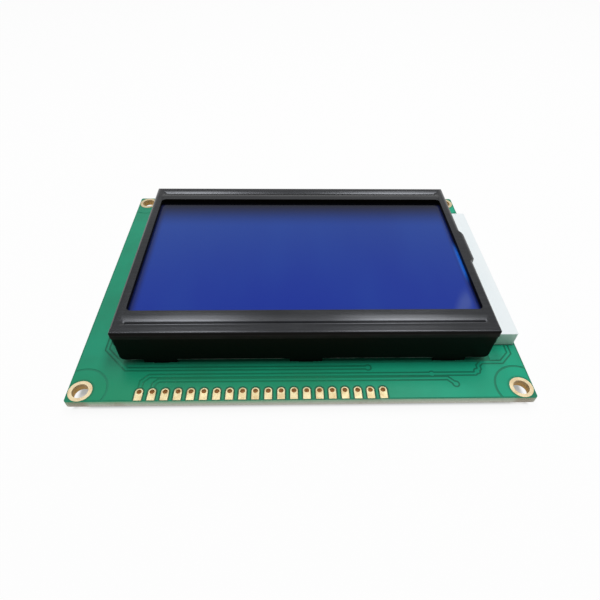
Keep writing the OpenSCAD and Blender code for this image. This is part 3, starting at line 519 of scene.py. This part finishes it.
def moulded_white(name, pale, grey, side, rough):
    """White moulded plastic with a fine texture, a little flow and some dust, greyer down its sides as
    painted shade.
    """
    finish = Finish(name)
    spot = finish.place()
    grain = finish.cloud(spot, 0.12, detail=2.0)
    flow = finish.cloud(finish.stretched(spot, (0.5, 0.12, 1.0)), 3.0, detail=4.0)
    dust = finish.cloud(spot, 0.45, detail=6.0).rise(0.66, 0.8)
    colour = finish.mix(flow.rise(0.25, 0.8), pale, grey)
    # The sides take the darker side colour: painted shade
    colour = finish.mix(finish.facing(0.3, 0.7), side, colour)
    return finish.coat(
        Base_Color=finish.mix(dust * 0.2, colour, srgb("aaa9a2")),
        Roughness=flow * 0.12 + grain * 0.08 + rough,
        Subsurface_Weight=0.15,
        Subsurface_Radius=(GLOW_DEPTH * MM,) * 3,
        Subsurface_Scale=1.0,
        Normal=finish.relief(grain, 0.004),
    )


def tinned(name, bright, dull, rough, ripple):
    """Tin or solder: bright metal with soft ripples and dull grains."""
    finish = Finish(name)
    spot = finish.place()
    waves = finish.cloud(spot, 0.5)
    grains = finish.cloud(spot, 0.08, detail=2.0)
    return finish.coat(
        Base_Color=finish.mix(waves.rise(0.3, 0.7), bright, dull),
        Metallic=1.0,
        Roughness=waves * 0.15 + grains * 0.1 + rough,
        Normal=finish.relief(waves * 0.7 + grains * 0.3, ripple),
    )


def driver_resin():
    """Poured black resin: satin, with slow waves from curing and a few trapped bubbles."""
    finish = Finish("driver_resin")
    spot = finish.place()
    waves = finish.cloud(spot, 3.5, detail=2.0)
    skin = finish.cloud(spot, 0.25, detail=4.0)
    bubbles = finish.node("TexVoronoi", inputs={"Vector": spot, "Scale": BUBBLES_PER_MM}).rise(0.05, 0.12)
    return finish.coat(
        Base_Color=finish.mix(waves.rise(0.3, 0.7), srgb("131314"), srgb("1f1e1e")),
        Roughness=waves * 0.2 + skin * 0.12 + 0.28,
        Normal=finish.relief(waves * 0.6 + skin * 0.1 + bubbles * 0.3, 0.05),
    )


def printed_ink():
    """White ink from a screen: a little thin in places, so that the green shows."""
    finish = Finish("printed_ink")
    spot = finish.place()
    thin = finish.cloud(spot, 0.4, detail=5.0).rise(0.55, 0.8)
    return finish.coat(
        Base_Color=finish.mix(thin * 0.35, srgb("e4e5df"), srgb("8fb3a0")),
        Roughness=thin * 0.1 + 0.6,
        Normal=finish.relief(thin, 0.008),
    )


def fired(name, base, flecked, rough, fleck_size):
    """Fired ceramic or moulded epoxy of a small part, with flecks."""
    finish = Finish(name)
    spot = finish.place()
    flecks = finish.cloud(spot, fleck_size, detail=4.0)
    return finish.coat(
        Base_Color=finish.mix(flecks.rise(0.35, 0.7), base, flecked),
        Roughness=flecks * 0.2 + rough,
        Normal=finish.relief(flecks, 0.006),
    )


def dress(material, *names):
    """Puts one finish on each of the named pieces."""
    for name in names:
        pieces[name].material_slots[0].material = material


dress(masked_laminate(), "printed_board")
dress(masked_copper(), "front_copper", "front_tracks", "rear_tracks")
dress(
    plated("ring_plating", srgb("c2b392"), srgb("ad9775"), 0.01, srgb("d9b063")),
    "mounting_rings", "terminal_rings", "component_lands",
)
dress(
    plated("header_gold", srgb("bdb18c"), srgb("a89168"), 0.008, srgb("f2bf68"), lapped=PAD_LAP),
    "header_pads",
)
dress(bezel_paint(), "bezel")
dress(display_film(), "front_polariser", "rear_polariser")
dress(cell_glass(), "upper_glass", "lower_glass")
dress(zebra_rubber(), "front_zebra", "rear_zebra")
# The third colour given to moulded_white below is the painted shade down the sides
dress(
    moulded_white("backlight_white", srgb("f0f6f8"), srgb("e8f0f3"), srgb("d8f0e6"), 0.4),
    "backlight_frame",
)
dress(
    moulded_white("diffuser_milk", srgb("f1f1ea"), srgb("e6e6de"), srgb("e2e2da"), 0.55),
    "backlight_diffuser",
)
dress(fired("lamp_laminate", srgb("dcd8bf"), srgb("c9c3a5"), 0.6, 0.8), "lamp_board")
dress(fired("lamp_resin", srgb("efe3a2"), srgb("e2cf7c"), 0.25, 0.6), "lamps")
dress(
    tinned("bright_tin", srgb("d5d5d3"), srgb("b9b9b8"), 0.25, 0.004),
    "backlight_terminals", "resistor_ends", "capacitor_ends", "converter_leads",
)
dress(
    tinned("solder_joint", srgb("cfd0d2"), srgb("a9abad"), 0.18, 0.02),
    "terminal_solder", "component_solder",
)
dress(driver_resin(), "row_driver_cap", "left_column_driver_cap", "right_column_driver_cap")
dress(printed_ink(), "dam_rings")
dress(fired("resistor_glaze", srgb("161618"), srgb("242427"), 0.35, 0.3), "resistor_bodies")
dress(fired("capacitor_ceramic", srgb("b28f66"), srgb("a17c52"), 0.45, 0.25), "capacitor_bodies")
dress(fired("chip_mould", srgb("1a1a1c"), srgb("28282a"), 0.55, 0.12), "converter_body")


def soften(name, width):
    """Rounds a piece's sharp edges by a few hundredths of a millimetre, without touching its own mesh."""
    piece = pieces[name]
    weld = piece.modifiers.new("joined_faces", "WELD")
    weld.merge_threshold = WELD_GAP * MM
    bevel = piece.modifiers.new("soft_edges", "BEVEL")
    bevel.width = width * MM
    bevel.segments = SOFT_SEGMENTS
    bevel.limit_method = "ANGLE"
    bevel.angle_limit = math.radians(SOFT_DEGREES)
    bevel.use_clamp_overlap = True
    shading = piece.modifiers.new("even_shading", "WEIGHTED_NORMAL")
    shading.mode = "FACE_AREA"
    shading.keep_sharp = False


soften("bezel", 0.06)
soften("printed_board", 0.05)
soften("backlight_frame", 0.12)


def seen_share(finish):
    """1 for rays that show the background: straight, mirrored and through glass."""
    path = finish.node("LightPath", out="Is Camera Ray")
    return path.most(path.beside("Is Glossy Ray")).most(path.beside("Is Transmission Ray"))


def lay_floor():
    """A pale matt floor that shows as white in the open and keeps the part's shadow."""
    half = FLOOR_SPAN / 2
    mesh = bpy.data.meshes.new("floor")
    corners = [(-half, -half, 0), (half, -half, 0), (half, half, 0), (-half, half, 0)]
    mesh.from_pydata(corners, [], [(0, 1, 2, 3)])
    floor = bpy.data.objects.new("floor", mesh)
    bpy.context.scene.collection.objects.link(floor)
    finish = Finish("pale_floor")
    spot = finish.place()
    shade = finish.cloud(spot, 60.0, detail=2.0)
    tone = finish.mix(shade, srgb("f6f6f6"), srgb("f2f2f2"))
    matt = finish.node(
        "BsdfPrincipled", inputs={"Base Color": tone, "Roughness": 1.0, "Specular IOR Level": 0.0}
    )
    x, y = finish.axes(spot)[:2]
    past_end = abs(x).rise(board_high.x - SHADE_FULL, board_high.x - SHADE_FROM)
    open_floor = past_end.most(abs(y).rise(board_high.y - SHADE_FULL, board_high.y - SHADE_FROM))
    share = open_floor * (FLOOR_GLOW - FLOOR_GLOW_BELOW) + FLOOR_GLOW_BELOW
    glow = finish.node("Emission", inputs={"Color": WHITE, "Strength": 1.0})
    mixed = finish.node("MixShader", inputs={0: seen_share(finish) * share, 1: matt, 2: glow})
    finish.node("OutputMaterial", inputs={"Surface": mixed})
    mesh.materials.append(finish.material)


def light_world():
    """A white backdrop for the eye, with a faint even light for the rest."""
    world = bpy.data.worlds.new("white_room")
    world.use_nodes = True
    bpy.context.scene.world = world
    finish = Finish("white_room", world.node_tree)
    ambient = finish.node("Background", inputs={"Color": WHITE, "Strength": AMBIENT})
    backdrop = finish.node("Background", inputs={"Color": WHITE, "Strength": 1.0})
    mixed = finish.node("MixShader", inputs={0: seen_share(finish), 1: ambient, 2: backdrop})
    finish.node("OutputWorld", inputs={"Surface": mixed})


def add_softbox(name, at, width, depth, power):
    """A rectangular lamp in millimetres, facing straight down."""
    lamp = bpy.data.lights.new(name, "AREA")
    lamp.shape = "RECTANGLE"
    lamp.size = width * MM
    lamp.size_y = depth * MM
    lamp.energy = power
    box = bpy.data.objects.new(name, lamp)
    box.location = Vector(at) * MM
    bpy.context.scene.collection.objects.link(box)


def set_camera():
    """The photograph's camera."""
    lens = bpy.data.cameras.new("photo_view")
    lens.lens = CAMERA_LENS
    lens.sensor_width = CAMERA_SENSOR
    lens.clip_start = CAMERA_NEAR * MM
    lens.clip_end = CAMERA_FAR * MM
    camera = bpy.data.objects.new("photo_view", lens)
    sight = Vector(CAMERA_AIM) - Vector(CAMERA_AT)
    turn = sight.to_track_quat("-Z", "Y").to_matrix().to_4x4()
    roll = Matrix.Rotation(math.radians(CAMERA_ROLL), 4, "Z")
    camera.matrix_world = Matrix.Translation(Vector(CAMERA_AT) * MM) @ turn @ roll
    bpy.context.scene.collection.objects.link(camera)
    bpy.context.scene.camera = camera


lay_floor()
light_world()
for side, lamp_x, width in LAMPS:
    add_softbox(side + "_strip", (lamp_x, STRIP_Y, STRIP_Z), width, STRIP_DEPTH, width * STRIP_POWER)
    add_softbox(side + "_box", (lamp_x, BOX_Y, BOX_Z), width, BOX_DEPTH, width * BOX_POWER)
set_camera()
bpy.context.scene.view_settings.view_transform = "Standard"
